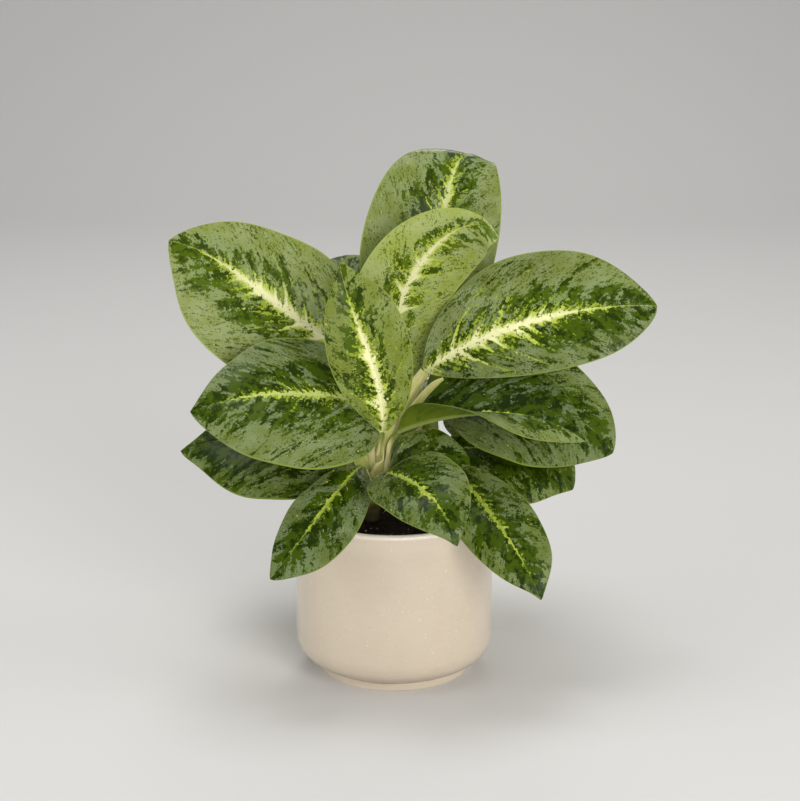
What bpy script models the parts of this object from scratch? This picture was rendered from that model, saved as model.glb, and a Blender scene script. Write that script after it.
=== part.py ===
"""A Chinese evergreen with mottled leaves in a cream ceramic pot, 0.36 m tall.

Metres, +Z up. The pot stands on z = 0 with its axis on x = y = 0, and -Y is the front.
Twenty leaves grow from three stems, and each leaf is one solid with its own stalk.
"""
import math

import bmesh
import bpy
from mathutils import Vector

MM = 0.001
SEAT_GAP = 0.3 * MM
MERGE = 0.00001
SHARE_STEP = 0.0001
SHARP_ANGLE = math.radians(50)

# Pot, widest at its belly, with a rounded shoulder below and a foot ring under a groove
POT_HEIGHT = 118 * MM
POT_RADIUS = 70 * MM
BELLY_HEIGHT = 60 * MM
NECK_RADIUS = 69.2 * MM
NECK_HEIGHT = 90 * MM
RIM_RADIUS = 68 * MM
WALL = 5 * MM
FLOOR = 8 * MM
SHOULDER_RADIUS = 20 * MM
SHOULDER_HEIGHT = 26 * MM
SHOULDER_TURN = 75
GROOVE_RADIUS = 52 * MM
GROOVE_DEPTH = 0.6 * MM
FOOT_RADIUS = 53.5 * MM
FOOT_HEIGHT = 5.6 * MM
FOOT_EDGE = 0.8 * MM
TURNED_SIDES = 48

# Soil
SOIL_LEVEL = 108 * MM
SOIL_CROWN = 2 * MM
SOIL_RINGS = (0.85, 0.6, 0.3)

# Stems
STEM_RADIUS = 5.5 * MM
STEM_TOP_RADIUS = 4.6 * MM
STEM_STEPS = 6

# Leaves
BLADE_THICKNESS = 0.9 * MM
RIB_THICKNESS = 2.0 * MM
RIB_TAPER = 0.5
STALK_ROOT_RADIUS = 3.0 * MM
STALK_TOP_RADIUS = 2.1 * MM
STALK_END_RADIUS = 1.2 * MM
STALK_END = 0.1
STALK_LEAN = 30 * MM
STALK_RISE = 0.55
STALK_ROOT_HANDLE = 0.45
STALK_TOP_HANDLE = 0.35
STALK_STEPS = 8
BASE_HALF = 2.2 * MM
TIP_HALF = 1.3 * MM
ROWS = 10
COLUMNS = 6
ON_RIB = 0.01

# A stem is a path from under the soil to its top, in millimetres.
STEMS = {
    "stem_front": [(-16, 4, 78), (-16, 1, 113), (-13, -5, 148)],
    "stem_right": [(18, 20, 78), (22, 15, 118), (24, 10, 158)],
    "stem_back": [(-8, 38, 78), (-8, 39, 124), (-4, 37, 170)],
}

# midrib: the rib from the blade's base to its tip, in millimetres, at even steps
# halves: the greatest width of each half, left and right of the rib seen from above
# face: the way the upper side looks at the base and at the tip
# fold: how far the halves are raised from flat at the base and at the tip, in degrees
# curl: how far each half bends down from rib to margin, in degrees
# full: how slowly each half widens at the base, and sharp: how slowly it narrows to the tip
# level: the share of the stem's length at which the stalk leaves it
# stiff: how far the rows keep to the blade's general direction, and ease: how late the fold opens
LEAVES = [
    dict(name="leaf_top_back", stem="stem_back", level=0.92,
         midrib=[(30, 44, 232), (32, 56, 292), (45, 76, 350), (63, 118, 328)],
         halves=(57, 41), face=[(0.1, -1.0, 0.3), (0.1, 0.3, 1.0)],
         fold=(20, 10), curl=20, full=(0.4, 0.63), sharp=(1.05, 0.95)),
    dict(name="leaf_upper_centre", stem="stem_back", level=1.0,
         midrib=[(15, 28, 200), (5, 31, 258), (36, 8, 309), (69, -30, 314)],
         halves=(37, 32), face=[(0.3, -1.0, 0.2), (0.1, -0.75, 0.85)],
         fold=(32, 15), curl=20, full=(0.5, 0.65), sharp=(1.1, 0.55), stiff=0.75),
    dict(name="leaf_front_centre", stem="stem_front", level=0.88,
         midrib=[(-8, -34, 181), (-12, -40, 222), (-25, -44, 261), (-36, -40, 299)],
         halves=(28, 30), face=[(0.0, -1.0, 0.2), (0.0, -1.0, 0.2)],
         fold=(30, 15), curl=20, full=(0.85, 0.75), sharp=(1.05, 0.6)),
    dict(name="leaf_upper_left", stem="stem_back", level=0.9,
         midrib=[(-33, 34, 226), (-72, 31, 249), (-114, 24, 283), (-155, 12, 305)],
         halves=(59, 51), face=[(0.3, -1.0, 0.6), (0.0, -1.0, 0.7)],
         fold=(18, 5), curl=20, full=(0.55, 0.5), sharp=(0.6, 0.9)),
    dict(name="leaf_upper_right", stem="stem_right", level=1.0,
         midrib=[(21, 10, 213), (70, -3, 243), (125, -13, 261), (179, -12, 264)],
         halves=(49, 39), face=[(0.0, -1.0, 0.6), (0.0, -1.0, 0.6)],
         fold=(18, 8), curl=20, full=(0.76, 0.8), sharp=(0.78, 0.6)),
    dict(name="leaf_middle_left", stem="stem_front", level=1.0,
         midrib=[(-16, -5, 195), (-60, -34, 208), (-99, -54, 211), (-135, -62, 203)],
         halves=(62, 50), face=[(0.1, -0.7, 0.9), (0.1, -0.7, 0.7)],
         fold=(15, 5), curl=20, full=(0.4, 0.36), sharp=(0.7, 0.95)),
    dict(name="leaf_lower_left", stem="stem_front", level=0.76,
         midrib=[(-34, 6, 158), (-72, -4, 166), (-110, -10, 170), (-148, -14, 162)],
         halves=(55, 30), face=[(0.1, -0.6, 0.9), (0.1, -0.6, 0.9)],
         fold=(20, 5), curl=20, full=(0.5, 0.5), sharp=(0.62, 0.9)),
    dict(name="leaf_rim_left", stem="stem_front", level=0.72,
         midrib=[(-23, -24, 154), (-38, -56, 146), (-58, -82, 126), (-81, -102, 100)],
         halves=(29, 20), face=[(0.1, -0.5, 0.9), (0.1, -0.5, 0.9)],
         fold=(20, 5), curl=20, full=(0.8, 0.9), sharp=(0.6, 0.72)),
    dict(name="leaf_rim_front", stem="stem_front", level=0.58,
         midrib=[(-5, -48, 157), (13, -76, 158), (29, -100, 150), (41, -114, 127)],
         halves=(31, 30), face=[(-0.2, -0.4, 0.9), (-0.2, -0.4, 0.9)],
         fold=(20, 5), curl=20, full=(0.42, 0.42), sharp=(0.75, 0.75)),
    dict(name="leaf_rim_right", stem="stem_right", level=0.66,
         midrib=[(39, -22, 154), (61, -56, 136), (82, -84, 112), (97, -98, 84)],
         halves=(25, 27), face=[(-0.1, -0.8, 0.6), (-0.1, -0.8, 0.6)],
         fold=(20, 5), curl=20, full=(0.8, 0.6), sharp=(0.75, 0.9)),
    dict(name="leaf_folded_right", stem="stem_front", level=0.84,
         midrib=[(3, -8, 174), (38, -20, 189), (85, -34, 194), (129, -46, 178)],
         halves=(42, 33), face=[(0.0, 0.2, 1.0), (0.0, -0.8, 0.8)],
         fold=(60, 0), curl=5, full=(0.95, 0.95), sharp=(0.9, 0.9), ease=0.9),
    dict(name="leaf_middle_right", stem="stem_right", level=0.8,
         midrib=[(34, 24, 190), (78, 20, 194), (122, 14, 182), (154, 8, 154)],
         halves=(45, 57), face=[(0.0, -0.7, 0.8), (0.0, -0.7, 0.8)],
         fold=(25, 5), curl=20, full=(0.5, 0.5), sharp=(0.7, 0.7)),
    dict(name="leaf_lower_right", stem="stem_right", level=0.56,
         midrib=[(38, 26, 152), (70, 20, 154), (104, 16, 146), (127, 12, 126)],
         halves=(37, 45), face=[(0.0, -0.7, 0.8), (0.0, -0.7, 0.8)],
         fold=(25, 5), curl=20, full=(0.6, 0.6), sharp=(0.8, 0.8)),
    dict(name="leaf_inner_front", stem="stem_front", level=0.66,
         midrib=[(-2, -18, 149), (12, -25, 160), (30, -29, 165), (52, -33, 158)],
         halves=(20, 23), face=[(-0.2, -0.8, 0.6), (-0.2, -0.6, 0.8)],
         fold=(25, 5), curl=20, full=(0.6, 0.6), sharp=(0.7, 0.8)),
    dict(name="leaf_back_centre", stem="stem_back", level=0.84,
         midrib=[(-22, 66, 222), (-30, 80, 248), (-36, 96, 270), (-40, 120, 275)],
         halves=(35, 35), face=[(0.0, -0.8, 0.6), (0.0, -0.8, 0.6)],
         fold=(25, 5), curl=20, full=(0.6, 0.6), sharp=(0.8, 0.8)),
    dict(name="leaf_back_right", stem="stem_back", level=0.66,
         midrib=[(34, 66, 196), (56, 100, 216), (76, 134, 218), (94, 164, 204)],
         halves=(42, 42), face=[(-0.2, -0.3, 1.0), (-0.2, -0.2, 1.0)],
         fold=(25, 5), curl=20, full=(0.6, 0.6), sharp=(0.8, 0.8)),
    dict(name="leaf_back_left", stem="stem_back", level=0.7,
         midrib=[(-36, 72, 190), (-58, 104, 206), (-80, 136, 206), (-100, 166, 190)],
         halves=(42, 42), face=[(0.2, -0.3, 1.0), (0.3, 0.2, 1.0)],
         fold=(25, 5), curl=20, full=(0.6, 0.6), sharp=(0.8, 0.8)),
    dict(name="leaf_back_low", stem="stem_back", level=0.6,
         midrib=[(-4, 84, 168), (-4, 116, 176), (-6, 148, 170), (-10, 178, 148)],
         halves=(38, 38), face=[(0.0, -0.3, 1.0), (0.0, 0.4, 1.0)],
         fold=(25, 5), curl=20, full=(0.6, 0.6), sharp=(0.8, 0.8)),
    dict(name="leaf_back_left_low", stem="stem_back", level=0.52,
         midrib=[(-44, 50, 150), (-72, 72, 158), (-98, 92, 150), (-120, 110, 130)],
         halves=(38, 38), face=[(0.2, 0.0, 1.0), (-0.3, 0.3, 1.0)],
         fold=(25, 5), curl=20, full=(0.6, 0.6), sharp=(0.8, 0.8)),
    dict(name="leaf_back_right_low", stem="stem_back", level=0.45,
         midrib=[(46, 56, 152), (68, 82, 158), (88, 106, 148), (104, 128, 126)],
         halves=(36, 36), face=[(-0.2, 0.0, 1.0), (0.3, 0.3, 1.0)],
         fold=(25, 5), curl=20, full=(0.6, 0.6), sharp=(0.8, 0.8)),
]
STIFF = 0.3
EASE = 1.5


def clear_scene():
    for item in list(bpy.data.objects):
        bpy.data.objects.remove(item)


def make_collection(name):
    collection = bpy.data.collections.new(name)
    bpy.context.scene.collection.children.link(collection)
    return collection


def make_material(name, colour, roughness):
    material = bpy.data.materials.new(name)
    material.use_nodes = True
    shader = material.node_tree.nodes["Principled BSDF"]
    shader.inputs["Base Color"].default_value = (*colour, 1.0)
    shader.inputs["Roughness"].default_value = roughness
    shader.inputs["Metallic"].default_value = 0.0
    material.diffuse_color = (*colour, 1.0)
    return material


def add_object(name, data, collection, material=None):
    item = bpy.data.objects.new(name, data)
    collection.objects.link(item)
    if material:
        data.materials.append(material)
    return item


def add_cutter(name, data, cutters):
    item = add_object(name, data, cutters)
    item.hide_render = True
    item.display_type = "WIRE"
    return item


def add_boolean(item, other, operation):
    modifier = item.modifiers.new(operation.lower(), "BOOLEAN")
    modifier.operation = operation
    modifier.object = other
    modifier.solver = "EXACT"


def arc(centre, radius, start, end, steps):
    """Points on an arc in the XZ plane, from one angle to another in degrees."""
    points = []
    for i in range(steps + 1):
        angle = math.radians(start + (end - start) * i / steps)
        points.append((centre[0] + radius * math.cos(angle), centre[1] + radius * math.sin(angle)))
    return points


def turned_mesh(name, profile):
    mesh = bpy.data.meshes.new(name)
    edges = [(i, i + 1) for i in range(len(profile) - 1)]
    mesh.from_pydata([(x, 0.0, z) for x, z in profile], edges, [])
    return mesh


def add_screw(item, sides):
    screw = item.modifiers.new("turn", "SCREW")
    screw.angle = math.tau
    screw.screw_offset = 0.0
    screw.steps = sides
    screw.render_steps = sides
    screw.use_merge_vertices = True
    screw.merge_threshold = MERGE
    screw.use_normal_calculate = True
    screw.use_smooth_shade = True


def inner_profile(gap):
    """The hollow of the pot from the floor's centre up to the neck, drawn in by a gap."""
    corner = SHOULDER_RADIUS - WALL
    centre = (POT_RADIUS - WALL - corner, FLOOR + corner)
    points = [(0.0, FLOOR + gap)]
    points += arc(centre, corner - gap, -90, 0, 4)
    points.append((POT_RADIUS - WALL - gap, BELLY_HEIGHT))
    points.append((NECK_RADIUS - WALL - gap, NECK_HEIGHT))
    return points


def make_pot(collection):
    lip = WALL / 2
    shoulder = (POT_RADIUS - SHOULDER_RADIUS, SHOULDER_HEIGHT)
    foot = FOOT_RADIUS - FOOT_EDGE
    profile = inner_profile(0.0)
    profile += arc((RIM_RADIUS - lip, POT_HEIGHT - lip), lip, 180, 0, 6)
    profile += [(NECK_RADIUS, NECK_HEIGHT), (POT_RADIUS, BELLY_HEIGHT)]
    profile += arc(shoulder, SHOULDER_RADIUS, 0, -SHOULDER_TURN, 6)
    profile += [(GROOVE_RADIUS, FOOT_HEIGHT + GROOVE_DEPTH)]
    profile += arc((foot, FOOT_HEIGHT - FOOT_EDGE), FOOT_EDGE, 90, 0, 2)
    profile += arc((foot, FOOT_EDGE), FOOT_EDGE, 0, -90, 2)
    profile += [(0.0, 0.0)]
    material = make_material("cream_ceramic", (0.66, 0.56, 0.44), 0.45)
    pot = add_object("pot", turned_mesh("pot", profile), collection, material)
    add_screw(pot, TURNED_SIDES)
    return pot


def make_soil(collection, cutters):
    """The soil fills the pot and has a plain hole for each stem."""
    edge = RIM_RADIUS - WALL - SEAT_GAP
    profile = inner_profile(SEAT_GAP)
    profile += [(edge, SOIL_LEVEL - SOIL_CROWN)]
    for share in SOIL_RINGS:
        profile.append((edge * share, SOIL_LEVEL - SOIL_CROWN * share ** 4))
    profile += [(0.0, SOIL_LEVEL)]
    profile.reverse()
    material = make_material("dark_soil", (0.02, 0.013, 0.008), 0.95)
    soil = add_object("soil", turned_mesh("soil", profile), collection, material)
    add_screw(soil, TURNED_SIDES)
    for name in STEMS:
        hole = stem_mesh(name, SEAT_GAP, SEAT_GAP)
        add_boolean(soil, add_cutter("hole_" + name, hole, cutters), "DIFFERENCE")
    return soil


def through(points, share):
    """The smooth curve through evenly spaced points, at a share of its length from 0 to 1."""
    last = len(points) - 1
    total = Vector((0.0, 0.0, 0.0))
    for i, point in enumerate(points):
        weight = 1.0
        for j in range(len(points)):
            if j != i:
                weight *= (share * last - j) / (i - j)
        total += Vector(point) * weight
    return total * MM


def direction(points, share):
    behind = through(points, share - SHARE_STEP)
    ahead = through(points, share + SHARE_STEP)
    return (ahead - behind).normalized()


def mesh_of(curve_object):
    """The closed mesh of a curve object, which is then removed."""
    depsgraph = bpy.context.evaluated_depsgraph_get()
    mesh = bpy.data.meshes.new_from_object(curve_object.evaluated_get(depsgraph))
    bm = bmesh.new()
    bm.from_mesh(mesh)
    bmesh.ops.remove_doubles(bm, verts=bm.verts, dist=MERGE)
    bmesh.ops.triangulate(bm, faces=bm.faces)
    bmesh.ops.recalc_face_normals(bm, faces=bm.faces)
    bm.to_mesh(mesh)
    bm.free()
    mesh.shade_smooth()
    mesh.set_sharp_from_angle(angle=SHARP_ANGLE)
    curve = curve_object.data
    bpy.data.objects.remove(curve_object)
    bpy.data.curves.remove(curve)
    return mesh


def tube_mesh(name, points, radii):
    """A tube with filled ends along points, with a radius at each."""
    curve = bpy.data.curves.new(name, "CURVE")
    curve.dimensions = "3D"
    curve.bevel_depth = 1.0
    curve.bevel_resolution = 2
    curve.use_fill_caps = True
    spline = curve.splines.new("POLY")
    spline.points.add(len(points) - 1)
    for slot, point, radius in zip(spline.points, points, radii):
        slot.co = (*point, 1.0)
        slot.radius = radius
    item = bpy.data.objects.new(name, curve)
    bpy.context.scene.collection.objects.link(item)
    bpy.context.view_layer.update()
    return mesh_of(item)


def stem_mesh(name, grow, reach):
    """The stem's tube, grown sideways by one length and reaching past its ends by another."""
    path = STEMS[name]
    points = []
    radii = []
    for i in range(STEM_STEPS + 1):
        share = i / STEM_STEPS
        points.append(through(path, share))
        radii.append(STEM_RADIUS + (STEM_TOP_RADIUS - STEM_RADIUS) * share + grow)
    points[0] -= direction(path, 0.0) * reach
    points[-1] += direction(path, 1.0) * reach
    return tube_mesh(name, points, radii)


def half_width(leaf, u, v):
    """The blade's half-width at a share u of its length, on the side that v is on."""
    side = 0 if v < 0 else 1
    full = leaf["full"][side]
    sharp = leaf["sharp"][side]
    widest = full / (full + sharp)
    shape = (u / widest) ** full * ((1 - u) / (1 - widest)) ** sharp
    return max(leaf["halves"][side] * MM * shape, BASE_HALF if u < 0.5 else TIP_HALF)


def leaf_axes(leaf, u):
    """The directions across the blade and out of its upper side."""
    path = leaf["midrib"]
    stiff = leaf.get("stiff", STIFF)
    chord = (Vector(path[-1]) - Vector(path[0])).normalized()
    along = (direction(path, u) * (1 - stiff) + chord * stiff).normalized()
    base_face = Vector(leaf["face"][0]).normalized()
    tip_face = Vector(leaf["face"][1]).normalized()
    face = base_face * (1 - u) + tip_face * u
    out = (face - along * face.dot(along)).normalized()
    return along.cross(out), out


def blade_point(leaf, u, v):
    """A point of the upper side: u runs from base to tip, v from -1 to 1 across."""
    across, out = leaf_axes(leaf, u)
    base_fold, tip_fold = leaf["fold"]
    fold = math.radians(tip_fold + (base_fold - tip_fold) * (1 - u) ** leaf.get("ease", EASE))
    curl = math.radians(leaf["curl"])
    half = half_width(leaf, u, v)
    bend = fold - curl * abs(v)
    sideways = half * (math.sin(fold) - math.sin(bend)) / curl * (-1 if v < 0 else 1)
    raised = half * (math.cos(bend) - math.cos(fold)) / curl
    return through(leaf["midrib"], u) + across * sideways + out * raised


def row_share(y):
    """The share of the blade's length at a grid height from -1 to 1, closer together at both ends."""
    even = (y + 1) / 2
    crowded = (1 - math.cos(math.pi * even)) / 2
    return min(max((even + crowded) / 2, 0.0), 1.0)


def make_blade(leaf, collection, material):
    """A curved grid, thickened downwards, and thicker along the rib."""
    bm = bmesh.new()
    bmesh.ops.create_grid(bm, x_segments=COLUMNS, y_segments=ROWS, size=1.0)
    rib = {}
    for vert in bm.verts:
        u = row_share(vert.co.y)
        if abs(vert.co.x) < ON_RIB:
            rib[vert.index] = 1 - RIB_TAPER * u
        vert.co = blade_point(leaf, u, vert.co.x)
    bmesh.ops.triangulate(bm, faces=bm.faces)
    mesh = bpy.data.meshes.new(leaf["name"])
    bm.to_mesh(mesh)
    bm.free()
    mesh.shade_smooth()
    item = add_object(leaf["name"], mesh, collection, material)
    group = item.vertex_groups.new(name="rib")
    for index, weight in rib.items():
        group.add([index], weight, "REPLACE")
    solidify = item.modifiers.new("thickness", "SOLIDIFY")
    solidify.thickness = RIB_THICKNESS
    solidify.offset = -1.0
    solidify.vertex_group = "rib"
    solidify.thickness_vertex_group = BLADE_THICKNESS / RIB_THICKNESS
    return item


def stalk_mesh(leaf):
    """The stalk bends out of its stem and runs into the rib under the blade."""
    root = through(STEMS[leaf["stem"]], leaf["level"])
    base = through(leaf["midrib"], 0.0)
    aside = Vector((base.x - root.x, base.y - root.y, 0.0))
    lean = min(aside.length / STALK_LEAN, 1.0)
    rise = (aside.normalized() * lean + Vector((0.0, 0.0, STALK_RISE))).normalized()
    along = direction(leaf["midrib"], 0.0)
    reach = (base - root).length
    root_handle = root + rise * reach * STALK_ROOT_HANDLE
    top_handle = base - along * reach * STALK_TOP_HANDLE
    handles = [root, root_handle, top_handle, base]
    points = []
    radii = []
    for i in range(STALK_STEPS + 1):
        t = i / STALK_STEPS
        weights = ((1 - t) ** 3, 3 * t * (1 - t) ** 2, 3 * t ** 2 * (1 - t), t ** 3)
        point = Vector((0.0, 0.0, 0.0))
        for weight, handle in zip(weights, handles):
            point += handle * weight
        points.append(point - leaf_axes(leaf, 0.0)[1] * STALK_TOP_RADIUS * t)
        radii.append(STALK_ROOT_RADIUS + (STALK_TOP_RADIUS - STALK_ROOT_RADIUS) * t)
    across, out = leaf_axes(leaf, STALK_END)
    points.append(through(leaf["midrib"], STALK_END) - out * STALK_END_RADIUS)
    radii.append(STALK_END_RADIUS)
    return tube_mesh("stalk_" + leaf["name"], points, radii)


def make_leaves(collection, cutters):
    material = make_material("mottled_leaf", (0.16, 0.27, 0.07), 0.4)
    seats = {}
    for name in STEMS:
        seats[name] = add_cutter("seat_" + name, stem_mesh(name, SEAT_GAP, SEAT_GAP), cutters)
    for leaf in LEAVES:
        blade = make_blade(leaf, collection, material)
        stalk = add_cutter("stalk_" + leaf["name"], stalk_mesh(leaf), cutters)
        add_boolean(blade, stalk, "UNION")
        add_boolean(blade, seats[leaf["stem"]], "DIFFERENCE")


def make_stems(collection):
    material = make_material("pale_stem", (0.42, 0.46, 0.20), 0.5)
    for name in STEMS:
        add_object(name, stem_mesh(name, 0.0, 0.0), collection, material)


def main():
    clear_scene()
    collection = make_collection("potted_chinese_evergreen")
    cutters = make_collection("cutters")
    make_pot(collection)
    make_soil(collection, cutters)
    make_stems(collection)
    make_leaves(collection, cutters)


main()
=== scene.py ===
"""A Chinese evergreen with mottled leaves in a cream pot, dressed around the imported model.

Metres, +Z up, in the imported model's frame: the pot stands on z = 0 with its axis on x = y = 0,
and -Y is the front. Nothing moves, so every piece rides on the one body, "root".
"""
import math

import bmesh
import bpy
import numpy as np
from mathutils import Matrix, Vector, noise


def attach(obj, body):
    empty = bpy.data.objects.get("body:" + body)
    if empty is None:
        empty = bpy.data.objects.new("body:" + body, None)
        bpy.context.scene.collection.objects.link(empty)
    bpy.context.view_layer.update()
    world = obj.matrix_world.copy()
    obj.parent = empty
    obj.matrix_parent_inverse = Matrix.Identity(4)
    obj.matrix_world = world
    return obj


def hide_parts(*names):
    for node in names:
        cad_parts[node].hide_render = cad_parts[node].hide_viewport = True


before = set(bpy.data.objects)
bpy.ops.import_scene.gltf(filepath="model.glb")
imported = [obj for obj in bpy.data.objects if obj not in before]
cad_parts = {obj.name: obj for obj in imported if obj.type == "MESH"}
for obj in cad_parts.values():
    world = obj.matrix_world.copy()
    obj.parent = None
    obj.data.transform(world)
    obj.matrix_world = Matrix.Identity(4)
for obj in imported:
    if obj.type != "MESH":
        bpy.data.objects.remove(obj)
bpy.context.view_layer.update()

MM = 0.001
CM = 0.01
SHARE_STEP = 0.0001
SHARP_ANGLE = math.radians(50)

# Pot, widest at its belly, with a rounded shoulder below and a foot ring under a groove
POT_HEIGHT = 118 * MM
POT_RADIUS = 70 * MM
BELLY_HEIGHT = 60 * MM
NECK_RADIUS = 69.2 * MM
NECK_HEIGHT = 90 * MM
RIM_RADIUS = 68 * MM
WALL = 5 * MM
FLOOR = 8 * MM
SHOULDER_RADIUS = 20 * MM
SHOULDER_HEIGHT = 26 * MM
SHOULDER_TURN = 75
GROOVE_RADIUS = 52 * MM
GROOVE_DEPTH = 0.6 * MM
FOOT_RADIUS = 53.5 * MM
FOOT_HEIGHT = 5.6 * MM
FOOT_EDGE = 0.8 * MM
POT_SIDES = 144

# Soil
SOIL_LEVEL = 108 * MM
SOIL_CROWN = 2 * MM
SOIL_GAP = 0.3 * MM
SOIL_SIDES = 120
SOIL_RINGS = 48
LUMP_HEIGHT = 1.6 * MM
LUMP_SCALE = 140
HOLLOW_SCALE = 38
CRUMBS = 620
CRUMB_SEED = 11
CRUMB_SIZE = 0.5 * MM
CRUMB_SPREAD = 1.3 * MM

# Stems
STEM_RADIUS = 5.5 * MM
STEM_TOP_RADIUS = 4.6 * MM
STEM_SIDES = 24
STEM_ROWS = 72
SCAR_SPACING = 7 * MM
SCAR_HEIGHT = 0.35 * MM
SCAR_SPREAD = 0.012

# Leaves
BLADE_THICKNESS = 0.6 * MM
MARGIN_THICKNESS = 0.34 * MM
RIB_DEPTH = 2.0 * MM
RIB_HALF = 1.5 * MM
FURROW_DEPTH = 0.55 * MM
FURROW_HALF = 0.9 * MM
BASE_HALF = 2.2 * MM
VEIN_SPACING = 8.5 * MM
VEIN_RELIEF = 0.12 * MM
VEIN_SLOPE = 0.68
VEIN_BEND = 0.13
WAVE_HEIGHT = 1.1 * MM
WAVES = 2.6
ROWS = 84
COLUMNS = 44
COLUMN_CROWDING = 1.6
FOLD = (25, 5)
CURL = 20
FULL = (0.6, 0.6)
SHARP = (0.8, 0.8)
POINT = 0.1
POINT_LENGTH = 0.13
RIB_END = 0.15
STIFF = 0.3
EASE = 1.5
LEAF_SEED = 1.7

# Stalks, each a channel that opens into a sheath round its stem
STALK_TOP_RADIUS = 2.1 * MM
STALK_LEAN = 30 * MM
STALK_RISE = 0.55
STALK_ROOT_HANDLE = 0.45
STALK_TOP_HANDLE = 0.35
CHANNEL_RADIUS = 1.25 * MM
CHANNEL_WALL = 1.9 * MM
CHANNEL_TURN = 118
SHEATH_WALL = 1.1 * MM
SHEATH_TURN = 105
SHEATH_POWER = 1.6
WING_OPENING = 35
SHEATH_DROP = 9 * MM
DROP_SHARES = (1.0, 0.66, 0.33)
STALK_ROWS = 36
STRIP = 17
STALK_SEED = 2.3
LOOSE_TURN = 85
LOOSE_SEED = 5.1

# Camera, worked out from the ellipses of the pot's rim and foot
CAMERA_PLACE = (0.004, -1.2458, 0.5182)
CAMERA_TILT = 75.44
CAMERA_LENS = 83.15
SENSOR = 36

# Floor, in metres: how far it reaches each way and up, where its backdrop starts, and how that curves
FLOOR_REACH = 6.0
BACKDROP_START = 2.0
BACKDROP_RADIUS = 1.5

# Soft lights: name, place, the height on the pot's axis that they are aimed at, size, power and colour
LIGHTS = [
    ("key", (1.0, -2.1, 0.95), 0.15, 1.3, 29.0, (1.0, 0.975, 0.94)),
    ("front", (0.3, -2.4, 0.5), 0.12, 1.0, 10.0, (1.0, 0.98, 0.95)),
    ("side_right", (2.2, -0.3, 0.6), 0.1, 1.0, 12.0, (1.0, 0.97, 0.92)),
    ("side_left", (-2.2, -0.3, 0.6), 0.1, 1.0, 10.0, (1.0, 0.97, 0.92)),
    ("fill", (-1.8, -1.3, 1.1), 0.2, 1.3, 9.0, (1.0, 0.985, 0.96)),
    ("top", (-0.2, 0.3, 2.2), 0.2, 1.2, 16.0, (1.0, 1.0, 1.0)),
    ("rear", (0.2, 2.3, 1.9), 0.15, 0.9, 10.0, (1.0, 0.985, 0.96)),
]
SKY_COLOUR = (0.93, 0.96, 1.0, 1.0)
SKY_STRENGTH = 0.3

# A stem is a path from under the soil to its top, in millimetres.
STEMS = {
    "stem_front": [(-16, 4, 78), (-16, 1, 113), (-13, -5, 148)],
    "stem_right": [(18, 20, 78), (22, 15, 118), (24, 10, 158)],
    "stem_back": [(-8, 38, 78), (-8, 39, 124), (-4, 37, 170)],
}

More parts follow.
